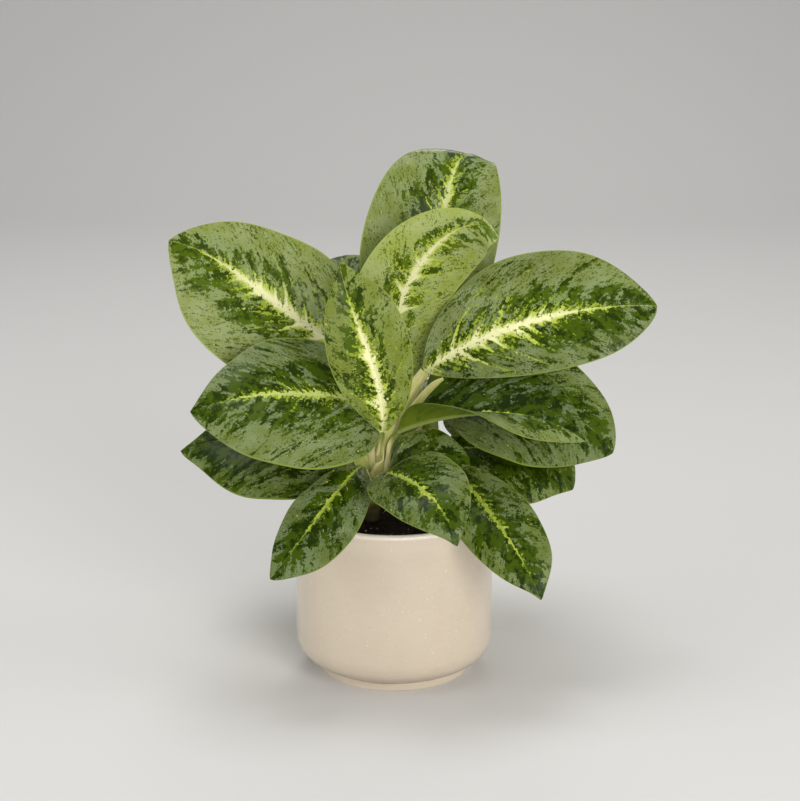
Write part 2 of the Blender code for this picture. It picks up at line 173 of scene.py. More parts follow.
# level: the share of the stem's length at which the stalk leaves it
# midrib: the rib from the blade's base to its tip, in millimetres, at even steps
# halves: the greatest width of each half, left and right of the rib seen from above
# face: the way the upper side looks at the base and at the tip, or all along
# fold: how far the halves are raised at the base and at the tip, and ease: how late the fold opens
# curl: how far each half bends down from rib to margin, in degrees as fold is
# full: how slowly each half widens at the base, and sharp: how slowly it narrows to the tip
# stiff: how far the rows keep to the blade's general direction
# look: how light the leaf is, partly its own green and partly painted light and shade for how it is lit,
# how dark its mottling, how broad its cream rib, and how yellow its green
# A leaf that leaves one out takes its usual value from above. Some leaves say more:
# second: how light and how dark the second half is, where it differs from the first; its lightness is
# partly painted light and shade on that half
# point: how much the tip is narrowed, and rib_end: how much of the pale rib line is left at the tip
# droop: how many millimetres the second half hangs lower, round which share of the length, and how widely
# base_shade: how much darker the blade is at its base, as painted shade
# sheath: how soon the stalk closes from its sheath, and channel: how much wider its channel is
LEAVES = [
    dict(name="leaf_top_back", stem="stem_back", level=0.92,
         midrib=[(30, 44, 232), (32, 56, 292), (45, 76, 350), (63, 118, 328)],
         halves=(57, 41), face=[(0.1, -1, 0.3), (0.1, 0.3, 1)], fold=(20, 10), full=(0.4, 0.63),
         sharp=(1.05, 0.95), look=(0.4, 0.35, 0.75, 0.3), droop=(7.5, 0.68, 0.2)),
    dict(name="leaf_upper_centre", stem="stem_back", level=1.0,
         midrib=[(15, 28, 200), (5, 31, 258), (36, 8, 309), (69, -30, 314)],
         halves=(37, 32), face=[(0.3, -1, 0.2), (0.1, -0.75, 0.85)], fold=(32, 15), full=(0.5, 0.65),
         sharp=(1.1, 0.55), stiff=0.75, look=(0.95, 0.36, 1.15, 0.35), base_shade=0.32),
    dict(name="leaf_front_centre", stem="stem_front", level=0.88,
         midrib=[(-8, -34, 181), (-12, -40, 222), (-25, -44, 261), (-36, -40, 299)],
         halves=(28, 30), face=[(0, -1, 0.2)], fold=(30, 15), full=(0.85, 0.75), sharp=(1.05, 0.6),
         look=(0.33, 0.64, 1.2, 0.8), second=(0.37, 0.54), point=0.4, rib_end=0.9),
    dict(name="leaf_upper_left", stem="stem_back", level=0.9,
         midrib=[(-33, 34, 226), (-72, 31, 249), (-114, 24, 283), (-155, 12, 305)],
         halves=(59, 51), face=[(0.3, -1, 0.6), (0, -1, 0.7)], fold=(18, 5), full=(0.55, 0.5),
         sharp=(0.6, 0.9), look=(0.54, 0.42, 1.35, 0.25)),
    dict(name="leaf_upper_right", stem="stem_right", level=1.0,
         midrib=[(21, 10, 213), (70, -3, 243), (125, -13, 261), (179, -12, 264)],
         halves=(49, 39), face=[(0, -1, 0.6)], fold=(18, 8), full=(0.76, 0.8), sharp=(0.78, 0.6),
         look=(0.38, 0.55, 1.25, 0.2), second=(0.24, 0.68), rib_end=0.7, sheath=0.6, channel=2.6),
    dict(name="leaf_middle_left", stem="stem_front", level=1.0,
         midrib=[(-16, -5, 195), (-60, -34, 208), (-99, -54, 211), (-135, -62, 203)],
         halves=(62, 50), face=[(0.1, -0.7, 0.9), (0.1, -0.7, 0.7)], fold=(15, 5), full=(0.4, 0.36),
         sharp=(0.7, 0.95), look=(0.26, 0.58, 0.55, 0.2), second=(0.2, 0.7), sheath=0.8, channel=1.6),
    dict(name="leaf_lower_left", stem="stem_front", level=0.76,
         midrib=[(-34, 6, 158), (-72, -4, 166), (-110, -10, 170), (-148, -14, 162)],
         halves=(55, 30), face=[(0.1, -0.6, 0.9)], fold=(20, 5), full=(0.5, 0.5), sharp=(0.62, 0.9),
         look=(0.13, 0.76, 0.1, 0.5), point=0.35, sheath=0.4, channel=2),
    dict(name="leaf_rim_left", stem="stem_front", level=0.72,
         midrib=[(-23, -24, 154), (-38, -56, 146), (-58, -82, 126), (-81, -102, 100)],
         halves=(29, 20), face=[(0.1, -0.5, 0.9)], fold=(20, 5), full=(0.8, 0.9), sharp=(0.6, 0.72),
         look=(0.15, 0.66, 0.15, 0.2), point=0.35, sheath=0.8, channel=1.5),
    dict(name="leaf_rim_front", stem="stem_front", level=0.58,
         midrib=[(-5, -48, 157), (13, -76, 158), (29, -100, 150), (41, -114, 127)],
         halves=(31, 30), face=[(-0.2, -0.4, 0.9)], fold=(20, 5), full=(0.42, 0.42), sharp=(0.75, 0.75),
         look=(0.12, 0.7, 0.3, 0.5), point=0.4),
    dict(name="leaf_rim_right", stem="stem_right", level=0.66,
         midrib=[(39, -22, 154), (61, -56, 136), (82, -84, 112), (97, -98, 84)],
         halves=(25, 27), face=[(-0.1, -0.8, 0.6)], fold=(20, 5), full=(0.8, 0.6), sharp=(0.75, 0.9),
         look=(0.17, 0.7, 0.2, 0.45), point=0.4),
    dict(name="leaf_folded_right", stem="stem_front", level=0.84,
         midrib=[(3, -8, 174), (38, -20, 189), (85, -34, 194), (129, -46, 178)],
         halves=(42, 33), face=[(0, 0.2, 1), (0, -0.8, 0.8)], fold=(60, 0), curl=5, full=(0.95, 0.95),
         sharp=(0.9, 0.9), ease=0.9, look=(0.06, 0.82, 0, 0.2), second=(0.34, 0.45), sheath=0.8,
         channel=1.8),
    dict(name="leaf_middle_right", stem="stem_right", level=0.8,
         midrib=[(34, 24, 190), (78, 20, 194), (122, 14, 182), (154, 8, 154)],
         halves=(45, 57), face=[(0, -0.7, 0.8)], full=(0.5, 0.5), sharp=(0.7, 0.7),
         look=(0.2, 0.6, 0.15, 0.35), second=(0.14, 0.62), sheath=0.6, channel=2.2),
    dict(name="leaf_lower_right", stem="stem_right", level=0.56,
         midrib=[(38, 26, 152), (70, 20, 154), (104, 16, 146), (127, 12, 126)],
         halves=(37, 45), face=[(0, -0.7, 0.8)], look=(0.15, 0.76, 0, 0.7)),
    dict(name="leaf_inner_front", stem="stem_front", level=0.66,
         midrib=[(-2, -18, 149), (12, -25, 160), (30, -29, 165), (52, -33, 158)],
         halves=(20, 23), face=[(-0.2, -0.8, 0.6), (-0.2, -0.6, 0.8)], sharp=(0.7, 0.8),
         look=(0.15, 0.75, 0, 0.4)),
    dict(name="leaf_back_centre", stem="stem_back", level=0.84,
         midrib=[(-22, 66, 222), (-30, 80, 248), (-36, 96, 270), (-40, 120, 275)],
         halves=(35, 35), face=[(0, -0.8, 0.6)], look=(0.3, 0.5, 0.5, 0.3)),
    dict(name="leaf_back_right", stem="stem_back", level=0.66,
         midrib=[(34, 66, 196), (56, 100, 216), (76, 134, 218), (94, 164, 204)],
         halves=(42, 42), face=[(-0.2, -0.3, 1), (-0.2, -0.2, 1)], look=(0.4, 0.45, 0.8, 0.4)),
    dict(name="leaf_back_left", stem="stem_back", level=0.7,
         midrib=[(-36, 72, 190), (-58, 104, 206), (-80, 136, 206), (-100, 166, 190)],
         halves=(42, 42), face=[(0.2, -0.3, 1), (0.3, 0.2, 1)], look=(0.34, 0.5, 0.7, 0.3)),
    dict(name="leaf_back_low", stem="stem_back", level=0.6,
         midrib=[(-4, 84, 168), (-4, 116, 176), (-6, 148, 170), (-10, 178, 148)],
         halves=(38, 38), face=[(0, -0.3, 1), (0, 0.4, 1)], look=(0.2, 0.6, 0.4, 0.5)),
    dict(name="leaf_back_left_low", stem="stem_back", level=0.52,
         midrib=[(-44, 50, 150), (-72, 72, 158), (-98, 92, 150), (-120, 110, 130)],
         halves=(38, 38), face=[(0.2, 0, 1), (-0.3, 0.3, 1)], look=(0.1, 0.7, 0.3, 0.4)),
    dict(name="leaf_back_right_low", stem="stem_back", level=0.45,
         midrib=[(46, 56, 152), (68, 82, 158), (88, 106, 148), (104, 128, 126)],
         halves=(36, 36), face=[(-0.2, 0, 1), (0.3, 0.3, 1)], look=(0.12, 0.65, 0.35, 0.5)),
]

# Sheaths in the heart of the plant that belong to no modelled leaf
# path: from the stem to the tip, in millimetres, radii: along it, and face: where the round side looks
# shade: from the cream foot (0) to the green stalk (1), and tone: how light its green is, set low as
# painted shade for the sheaths deep in the heart
SHEATHS = [
    dict(name="sheath_upper", node="stem_front",
         path=[(-13, -6, 142), (-3, -3, 168), (9, 2, 193), (22, 7, 213)],
         radii=(4.5, 5.2, 5.0, 3.2), face=(0.3, -1, 0.1), shade=0.1, tone=0.8),
    dict(name="sheath_left", node="stem_front",
         path=[(-15, -9, 132), (-20, -10, 145), (-25, -9, 156), (-29, -7, 164)],
         radii=(5.5, 6.5, 5.0, 0.8), face=(-0.2, -1, 0), shade=0.8, tone=0.75),
    dict(name="sheath_low", node="stem_front",
         path=[(-16, -2, 126), (-23, -1, 139), (-31, 0, 149), (-39, 2, 154)],
         radii=(4.0, 4.5, 4.2, 1.2), face=(-0.1, -1, 0.2), shade=0.9, tone=0.45),
    # A dark green, as painted shade deep in the heart of the plant.
    dict(name="sheath_inner", node="stem_front",
         path=[(-8, 0, 146), (0, 1, 162), (8, 1, 173), (17, 1, 180)],
         radii=(3.0, 4.5, 5.0, 3.5), face=(0, -1, 0.2), shade=1.0, tone=0.1),
    dict(name="sheath_right", node="stem_right",
         path=[(13, -4, 189), (20, -6, 199), (27, -7, 207), (34, -7, 212)],
         radii=(2.4, 2.2, 1.9, 0.7), face=(0.1, -1, 0.2), shade=0.2, tone=0.8),
    # A dark green, as painted shade deep in the heart of the plant.
    dict(name="sheath_behind", node="stem_right",
         path=[(24, 10, 152), (27, 11, 176), (28, 12, 198), (33, 13, 220)],
         radii=(5.0, 5.0, 4.5, 2.5), face=(0.3, -1, 0.1), shade=1.0, tone=0.1),
]


# Curves and meshes

def unit(vectors):
    return vectors / np.linalg.norm(vectors, axis=-1, keepdims=True)


def smooth(low, high, values):
    """0 below low, 1 above high, and an even S between them."""
    share = np.clip((np.asarray(values, float) - low) / (high - low), 0.0, 1.0)
    return share * share * (3 - 2 * share)


def between(start, end, share):
    """From start to end by an array of shares, for numbers or for vectors."""
    if np.ndim(start) or np.ndim(end):
        share = np.asarray(share)[..., None]
    return start * (1 - share) + end * share


def through(points, shares):
    """Points of the smooth curve through evenly spaced points, at shares of its length."""
    last = len(points) - 1
    shares = np.asarray(shares, float)
    total = np.zeros(shares.shape + (3,))
    for i, point in enumerate(points):
        weight = np.ones(shares.shape)
        for j in range(len(points)):
            if j != i:
                weight = weight * (shares * last - j) / (i - j)
        total += weight[..., None] * np.array(point, float)
    return total * MM


def direction(points, shares):
    shares = np.asarray(shares, float)
    return unit(through(points, shares + SHARE_STEP) - through(points, shares - SHARE_STEP))


def lengths_along(route):
    """How far each point of a route is from its start."""
    steps = np.linalg.norm(np.diff(route, axis=0), axis=1)
    return np.concatenate([[0.0], np.cumsum(steps)])


def arc(centre, radius, start, end, steps):
    """Points on an arc in the XZ plane, from one angle to another in degrees."""
    angles = np.radians(np.linspace(start, end, steps + 1))
    return [(centre[0] + radius * math.cos(a), centre[1] + radius * math.sin(a)) for a in angles]


def grid_faces(rows, columns, first, closed, flip):
    """Quads of a grid of points that starts at an index, joined round its columns if closed."""
    faces = []
    last = columns if closed else columns - 1
    for i in range(rows - 1):
        for j in range(last):
            a = first + i * columns + j
            b = first + i * columns + (j + 1) % columns
            face = (a, b, b + columns, a + columns)
            faces.append(face[::-1] if flip else face)
    return faces


def new_object(name, data):
    item = bpy.data.objects.new(name, data)
    bpy.context.scene.collection.objects.link(item)
    return item


def make_piece(name, points, faces, material, nodes):
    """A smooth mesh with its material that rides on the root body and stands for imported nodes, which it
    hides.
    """
    mesh = bpy.data.meshes.new(name)
    mesh.from_pydata(np.asarray(points).reshape(-1, 3).tolist(), [], faces)
    mesh.validate()
    mesh.materials.append(material)
    mesh.shade_smooth()
    mesh.set_sharp_from_angle(angle=SHARP_ANGLE)
    piece = new_object(name, mesh)
    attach(piece, "root")
    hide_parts(*nodes)
    return piece


def make_tube(name, rings, material, node):
    """A stem, a stalk or a sheath from its rings, closed at both ends."""
    rows = len(rings)
    sides = len(rings[0])
    faces = grid_faces(rows, sides, 0, True, False)
    faces.append(tuple(range(sides))[::-1])
    faces.append(tuple((rows - 1) * sides + j for j in range(sides)))
    return make_piece(name, np.array(rings), faces, material, [node])


def give(piece, name, *parts):
    """Stores three numbers for each point of a piece, for its material to read."""
    values = np.stack(np.broadcast_arrays(*parts), axis=-1).astype(np.float32)
    layer = piece.data.attributes.new(name, "FLOAT_VECTOR", "POINT")
    layer.data.foreach_set("vector", values.ravel())


# Materials

class Recipe:
    """A material with one surface shader, and short calls that build and join its nodes."""

    def __init__(self, name):
        self.material = bpy.data.materials.new(name)
        self.material.use_nodes = True
        self.tree = self.material.node_tree
        self.shader = self.tree.nodes["Principled BSDF"]

    def put(self, socket, value):
        if isinstance(value, bpy.types.NodeSocket):
            self.tree.links.new(value, socket)
        else:
            socket.default_value = value

    def node(self, kind, **inputs):
        """A new node, with the inputs that are named set or linked."""
        node = self.tree.nodes.new("ShaderNode" + kind)
        for name, value in inputs.items():
            self.put(node.inputs[name.replace("_", " ")], value)
        return node

    def use(self, name, value):
        self.put(self.shader.inputs[name], value)

    def split(self, vector):
        """The three numbers of a vector."""
        return self.node("SeparateXYZ", Vector=vector).outputs

    def parts(self, attribute):
        """The three numbers stored under a name on the mesh."""
        node = self.node("Attribute")
        node.attribute_name = attribute
        return self.split(node.outputs["Vector"])

    def place(self):
        """The point's place in the object, in metres."""
        return self.node("TexCoord").outputs["Object"]

    def stretch(self, vector, scale):
        return self.node("Mapping", Vector=vector, Scale=scale).outputs[0]

    def vector(self, x, y, z):
        return self.node("CombineXYZ", X=x, Y=y, Z=z).outputs[0]

    def maths(self, operation, a, b=0.0, clamp=False):
        node = self.node("Math")
        node.operation = operation
        node.use_clamp = clamp
        self.put(node.inputs[0], a)
        self.put(node.inputs[1], b)
        return node.outputs[0]

    def add(self, a, b):
        return self.maths("ADD", a, b)

    def less(self, a, b):
        return self.maths("SUBTRACT", a, b)

    def times(self, a, b):
        return self.maths("MULTIPLY", a, b)

    def edge(self, value, threshold, softness):
        """0 below a threshold and 1 above it, over a given softness."""
        rise = self.maths("DIVIDE", self.less(value, threshold), softness)
        return self.maths("ADD", rise, 0.5, clamp=True)

    def ease(self, value, low, high, start=0.0, end=1.0):
        """A smooth change from one number to another while value goes from low to high."""
        node = self.node("MapRange", Value=value, From_Min=low, From_Max=high, To_Min=start, To_Max=end)
        node.interpolation_type = "SMOOTHSTEP"
        return node.outputs[0]

    def noise(self, vector, scale, detail, rough=0.5):
        node = self.node("TexNoise", Vector=vector, Scale=scale, Detail=detail, Roughness=rough)
        return node.outputs["Fac"]

    def mix(self, share, a, b):
        """One colour or another, by a share."""
        node = self.node("Mix")
        node.data_type = "RGBA"
        factor, first, second = (s for s in node.inputs if s.enabled)
        for socket, value in ((factor, share), (first, a), (second, b)):
            self.put(socket, (*value, 1.0) if isinstance(value, tuple) else value)
        return next(s for s in node.outputs if s.enabled)

    def bump(self, height, distance, strength):
        node = self.node("Bump", Strength=strength, Distance=distance, Height=height)
        self.use("Normal", node.outputs[0])

    def finish(self, colour, rough, grain, spread, shine=0.5):
        """The finished material, whose roughness rises with a grain."""
        self.use("Base Color", colour)
        self.use("Roughness", self.add(rough, self.times(grain, spread)))
        self.use("Specular IOR Level", shine)
        return self.material


class LeafRecipe(Recipe):
    """A recipe that knows where each point lies on its blade and how that blade looks."""

    def __init__(self, name):
        super().__init__(name)
        self.along, self.aside, self.seed = self.parts("leaf_at")
        self.length, width, self.tone = self.parts("leaf_in")
        self.upper, self.darkness, self.cream_share = self.parts("leaf_look")
        self.warmth, self.rib_end, _ = self.parts("leaf_light")
        self.off = self.maths("ABSOLUTE", self.aside)
        self.wide = self.maths("ABSOLUTE", width)
        self.own = self.add(self.seed, self.times(self.maths("SIGN", self.aside), 3.7))
        # Veins leave the rib at a slant and bend towards the tip, so a vein is a line of even root.
        slant = self.times(self.off, self.add(VEIN_SLOPE, self.times(self.off, VEIN_BEND)))
        wander = self.times(self.less(self.even(1.3, 2.0), 0.5), 0.5)
        self.root = self.add(self.less(self.along, slant), wander)

    def even(self, scale, detail):
        """Noise with no direction that runs on over the rib."""
        return self.noise(self.vector(self.along, self.aside, self.seed), scale, detail)

    def grown(self, across_veins, along_veins, shift, detail):
        """Noise whose spots run along the veins."""
        across = self.times(self.root, across_veins)
        along = self.times(self.off, along_veins)
        return self.noise(self.vector(across, along, self.add(self.own, shift)), 1.0, detail)

    def jagged(self, scale, shift, detail, rough=0.6):
        """Noise with no direction, for the ragged edges of the spots."""
        along = self.times(self.along, scale)
        aside = self.times(self.aside, scale)
        return self.noise(self.vector(along, aside, self.add(self.own, shift)), 1.0, detail, rough)

    def both(self, grown, jagged):
        """Half of each noise."""
        return self.times(self.add(self.grown(*grown), self.jagged(*jagged)), 0.5)


def dark_core(r):
    """How much of the dark core a point has: most near the rib, and more towards the tip."""
    edge = r.add(0.66, r.times(r.ease(r.length, 0.6, 0.95), 0.15))
    core = r.maths("SUBTRACT", 1.0, r.maths("DIVIDE", r.wide, edge), clamp=True)
    return r.ease(core, 0.0, 0.55)


def dark_spots(r, blotches, core):
    """Shares of the dark green patches and of the smaller flecks between them."""
    drift = r.grown(0.5, 0.4, 7, 1)
    cover = r.times(r.darkness, r.times(r.darkness, 0.19))
    cover = r.add(cover, r.times(core, r.less(0.132, r.times(r.darkness, 0.035))))
    cover = r.add(cover, r.times(r.less(drift, 0.5), 0.24))
    patches = r.edge(blotches, r.less(0.626, cover), 0.012)
    small = r.both((6, 3.4, 31, 1), (7.5, 37, 1))
    coarse = r.both((3.2, 1.9, 41, 2), (4.4, 43, 2))
    often = r.add(r.times(drift, 0.16), r.times(r.darkness, 0.02))
    flecks = r.edge(small, r.less(0.672, often), 0.03)
    flecks = r.maths("MAXIMUM", flecks, r.edge(coarse, r.less(0.69, often), 0.02))
    return patches, flecks


def green_blade(r, blotches):
    """The blade's greens, from a dark leaf to a light one and from silvery to yellow-green."""
    core = dark_core(r)
    patches, flecks = dark_spots(r, blotches, core)
    silver = r.mix(r.tone, (0.08, 0.112, 0.036), (0.34, 0.405, 0.1))
    silver = r.mix(r.warmth, silver, r.mix(r.tone, (0.075, 0.11, 0.012), (0.35, 0.41, 0.05)))
    pale = r.mix(r.tone, (0.126, 0.168, 0.088), (0.4, 0.465, 0.2))
    pale = r.mix(r.warmth, pale, r.mix(r.tone, (0.115, 0.165, 0.03), (0.41, 0.48, 0.11)))
    field = r.mix(r.edge(r.even(0.8, 3), 0.5, 0.25), silver, pale)
    inner = r.mix(r.tone, (0.125, 0.18, 0.085), (0.3, 0.39, 0.16))
    field = r.mix(r.times(core, r.times(r.less(1.0, r.warmth), 0.6)), field, inner)
    mid_green = r.mix(r.tone, (0.036, 0.066, 0.002), (0.11, 0.17, 0.008))
    night_green = r.mix(r.tone, (0.009, 0.02, 0.001), (0.05, 0.086, 0.004))
    colour = r.mix(r.times(flecks, 0.8), field, r.mix(r.darkness, mid_green, night_green))
    deep = r.ease(r.both((1.1, 0.8, 19, 2), (2.6, 23, 3)), 0.46, 0.56)
    return r.mix(patches, colour, r.mix(deep, mid_green, night_green))


def add_lime(r, colour, body, far):
    """Yellow-green spots around the cream."""
    lime_far = r.add(0.03, r.add(r.times(far, 2.0), r.times(body, r.times(r.cream_share, 0.3))))
    fall = r.maths("MAXIMUM", r.less(1.0, r.maths("DIVIDE", r.off, lime_far)), -1.5)
    spots = r.both((3.6, 1.8, 83, 3), (5, 89, 3, 0.65))
    lime = r.edge(r.add(spots, r.times(fall, 0.06)), 0.56, 0.025)
    lime = r.times(lime, r.times(r.ease(r.length, 0.93, 0.8), r.ease(r.cream_share, 0.0, 0.2)))
    return r.mix(r.times(lime, 0.9), colour, r.mix(r.tone, (0.2, 0.29, 0.015), (0.44, 0.53, 0.06)))


def rib_colour(r, fall):
    """Cream near the base, yellow-green towards the tip, at the cream's edge and at the very base."""
    bright = r.mix(r.times(r.cream_share, r.cream_share), (0.32, 0.42, 0.04), (0.86, 0.85, 0.48))
    rib = r.mix(r.edge(fall, 0.3, 0.8), (0.46, 0.55, 0.085), bright)
    rib = r.mix(r.times(r.ease(r.length, 0.45, 0.85), 0.6), rib, (0.36, 0.45, 0.05))
    return r.mix(r.ease(r.length, 0.1, 0.0, 0.0, 0.6), rib, (0.38, 0.4, 0.12))


def add_cream(r, colour):
    """Cream that runs up the rib and frays into flecks along the veins, and a thin line after it."""
    body = r.times(r.ease(r.length, 0.02, 0.18, 0.5, 1.0), r.ease(r.length, 0.4, 0.9, 1.0, 0.0))
    spur = r.maths("MAXIMUM", r.less(r.grown(1.5, 0.1, 71, 1), 0.54), 0.0)
    reach = r.times(body, r.add(0.03, r.times(r.cream_share, 0.27)))
    far = r.times(reach, r.add(1.0, r.times(spur, 15.0)))
    fray = r.both((3, 1.2, 57, 3), (5, 61, 3, 0.65))
    fall = r.maths("MAXIMUM", r.less(1.0, r.maths("DIVIDE", r.off, r.add(far, 0.012))), -1.5)
    fall = r.less(fall, r.times(r.ease(r.length, 0.55, 0.88), r.less(2.0, r.cream_share)))
    cream = r.edge(r.add(fray, r.times(fall, 0.1)), 0.5, 0.025)
    line_edge = r.add(r.ease(r.length, 0.7, 0.95, 0.055, 0.02), r.times(r.less(fray, 0.5), 0.4))
    line = r.times(r.edge(line_edge, r.off, 0.03), r.ease(r.length, 0.6, 0.85, 1.0, r.rib_end))
    thin = r.mix(r.cream_share, (0.08, 0.125, 0.01), (0.34, 0.42, 0.06))
    colour = r.mix(r.times(line, 0.75), add_lime(r, colour, body, far), thin)
    return r.mix(cream, colour, rib_colour(r, fall))


def leaf_material():
    """Silver-green mottled with dark green along the veins, and a feathered cream rib."""
    r = LeafRecipe("mottled_leaf")
    blotches = r.both((1.45, 1.45, 0, 2), (4.2, 5, 6, 0.74))
    colour = add_cream(r, green_blade(r, blotches))
    margin = r.mix(r.tone, (0.13, 0.18, 0.02), (0.42, 0.5, 0.13))
    colour = r.mix(r.ease(r.wide, 0.97, 0.99), colour, margin)
    under = r.mix(r.edge(blotches, 0.54, 0.15), (0.13, 0.19, 0.016), (0.085, 0.135, 0.01))
    under = r.mix(r.times(r.edge(0.17, r.off, 0.12), 0.8), under, (0.24, 0.29, 0.075))
    grain = r.even(14, 3)
    ripple = r.maths("SINE", r.times(r.root, math.tau * CM / VEIN_SPACING))
    r.bump(r.add(r.times(grain, 0.25), r.times(ripple, 0.25)), 0.35 * MM, 0.5)
    return r.finish(r.mix(r.upper, under, colour), 0.2, grain, 0.14, 0.09)


def stalk_material():
    """A pale green channel whose thin sheath edges are cream and a little pink."""
    r = Recipe("pale_stem")
    along, aside, seed = r.parts("leaf_at")
    share, tone, above_soil = r.parts("leaf_in")
    edge = r.maths("ABSOLUTE", aside)
    lines = r.noise(r.vector(r.times(along, 0.6), r.times(aside, 7.0), seed), 1.0, 4.0, 0.6)
    cloud = r.noise(r.vector(along, aside, seed), 1.1, 3)
    stalk = r.mix(tone, (0.1, 0.15, 0.018), (0.42, 0.49, 0.085))
    lighter = r.mix(tone, (0.17, 0.21, 0.04), (0.46, 0.5, 0.12))
    stalk = r.mix(r.edge(cloud, 0.5, 0.4), stalk, lighter)
    sheath = r.mix(r.edge(cloud, 0.5, 0.3), (0.42, 0.48, 0.1), (0.58, 0.52, 0.22))
    wing = r.mix(r.edge(cloud, 0.45, 0.3), (0.74, 0.63, 0.32), (0.7, 0.7, 0.32))
    colour = r.mix(r.ease(share, 0.35, 0.9), sheath, stalk)
    wing_share = r.times(r.ease(edge, 0.3, 0.75), r.ease(share, 0.95, 0.7))
    colour = r.mix(wing_share, colour, wing)
    colour = r.mix(r.times(r.edge(lines, 0.56, 0.15), 0.3), colour, (0.3, 0.32, 0.09))
    # Darker and browner towards the soil.
    colour = r.mix(above_soil, (0.05, 0.04, 0.013), colour)
    r.bump(lines, 0.25 * MM, 0.5)
    return r.finish(colour, 0.34, lines, 0.2, 0.25)


def stem_material():
    """Olive green with tan scars round it, darker and browner near the soil."""
    r = Recipe("ringed_stem")
    place = r.place()
    height, scar, _ = r.parts("leaf_at")
    cloud = r.noise(r.stretch(place, (1.0, 1.0, 0.35)), 380.0, 4.0, 0.6)
    colour = r.mix(r.edge(cloud, 0.5, 0.2), (0.085, 0.095, 0.022), (0.15, 0.15, 0.05))
    colour = r.mix(r.times(scar, 0.6), colour, (0.2, 0.14, 0.07))
    colour = r.mix(r.ease(height, 3.4, 0.9), colour, (0.03, 0.022, 0.008))
    r.bump(cloud, 0.3 * MM, 0.5)
    return r.finish(colour, 0.45, cloud, 0.25)


def soil_material():
    """Near-black potting mix with brown and tan specks."""
    r = Recipe("dark_soil")
    place = r.place()
    grain = r.noise(place, 1400, 4, 0.65)
    coarse = r.noise(place, 420, 3, 0.6)
    colour = r.mix(r.edge(coarse, 0.5, 0.2), (0.005, 0.003, 0.0015), (0.016, 0.009, 0.005))
    colour = r.mix(r.edge(grain, 0.66, 0.06), colour, (0.1, 0.055, 0.028))
    colour = r.mix(r.edge(grain, 0.74, 0.03), colour, (0.32, 0.24, 0.16))
    r.bump(r.add(grain, coarse), 1.2 * MM, 0.8)
    return r.finish(colour, 0.82, grain, 0.15, 0.12)


def crumb_material():
    """Crumbs in the soil: mostly dark bark and peat, a few tan ones and a few pale grit grains."""
    r = Recipe("soil_crumbs")
    kind, shade, _ = r.parts("crumb")
    grain = r.noise(r.place(), 1800, 3, 0.6)
    dark = r.mix(shade, (0.006, 0.0035, 0.002), (0.032, 0.018, 0.01))
    tan = r.mix(shade, (0.09, 0.05, 0.025), (0.24, 0.15, 0.085))
    colour = r.mix(r.edge(kind, 0.86, 0.02), dark, tan)
    colour = r.mix(r.edge(kind, 0.965, 0.01), colour, (0.55, 0.5, 0.43))
    colour = r.mix(r.times(r.edge(grain, 0.5, 0.3), 0.4), colour, (0.008, 0.005, 0.003))
    r.bump(grain, 0.4 * MM, 0.6)
    return r.finish(colour, 0.78, grain, 0.2, 0.15)


def ceramic_material():
    """Cream stoneware with fine specks and faint turning marks, under a clear glossy glaze.

    It is darker and browner just above the groove, as painted shade under the shoulder; its neck is paler
    as painted light, and its lip paler still as a painted highlight.
    """
    r = Recipe("cream_ceramic")
    place = r.place()
    cloud = r.noise(place, 28, 3, 0.55)
    turned = r.noise(r.stretch(place, (1.0, 1.0, 3.0)), 90.0, 3.0, 0.55)
    fleck = r.noise(place, 1050, 1)
    other = r.noise(r.stretch(place, (1.0, 1.3, 0.8)), 780.0, 1.0)
    colour = r.mix(r.edge(cloud, 0.5, 0.5), (0.55, 0.462, 0.354), (0.585, 0.495, 0.382))
    colour = r.mix(r.times(r.edge(turned, 0.52, 0.4), 0.18), colour, (0.66, 0.58, 0.47))
    height = r.split(place)[2]
    # Painted shade: darker and browner in the hollow above the groove, under the shoulder.
    thin = r.ease(height, SHOULDER_HEIGHT * 0.65, FOOT_HEIGHT + GROOVE_DEPTH, 0.0, 0.9)
    thin = r.times(thin, r.ease(height, FOOT_HEIGHT - GROOVE_DEPTH, FOOT_HEIGHT))
    colour = r.mix(thin, colour, (0.33, 0.25, 0.17))
    # Painted light: the pot is paler towards its neck.
    painted_neck_light = r.ease(height, POT_HEIGHT - 4 * WALL, POT_HEIGHT - WALL / 2, 0.0, 0.55)
    colour = r.mix(painted_neck_light, colour, (0.74, 0.64, 0.52))
    # Painted highlight: a pale line along the rounded lip.
    lip = r.ease(height, POT_HEIGHT - WALL * 0.8, POT_HEIGHT - WALL / 4, 0.0, 0.9)
    colour = r.mix(lip, colour, (0.95, 0.87, 0.76))
    colour = r.mix(r.times(r.edge(fleck, 0.735, 0.03), 0.6), colour, (0.38, 0.29, 0.2))
    colour = r.mix(r.times(r.edge(other, 0.745, 0.03), 0.6), colour, (0.86, 0.8, 0.71))
    r.bump(r.add(r.times(turned, 0.6), r.times(fleck, 0.25)), 0.25 * MM, 0.35)
    r.use("Coat Weight", 0.9)
    r.use("Coat Roughness", 0.1)
    return r.finish(colour, 0.36, turned, 0.16)


# Leaf blades

def leaf_axes(leaf, u):
    """The directions across the blade and out of its upper side, at shares of its length."""
    path = leaf["midrib"]
    stiff = leaf.get("stiff", STIFF)
    chord = unit(np.subtract(path[-1], path[0]).astype(float))
    along = unit(direction(path, u) * (1 - stiff) + chord * stiff)
    base_face = unit(np.array(leaf["face"][0]))
    tip_face = unit(np.array(leaf["face"][-1]))
    face = between(base_face, tip_face, u)
    out = unit(face - along * np.sum(face * along, axis=-1, keepdims=True))
    return np.cross(along, out), out


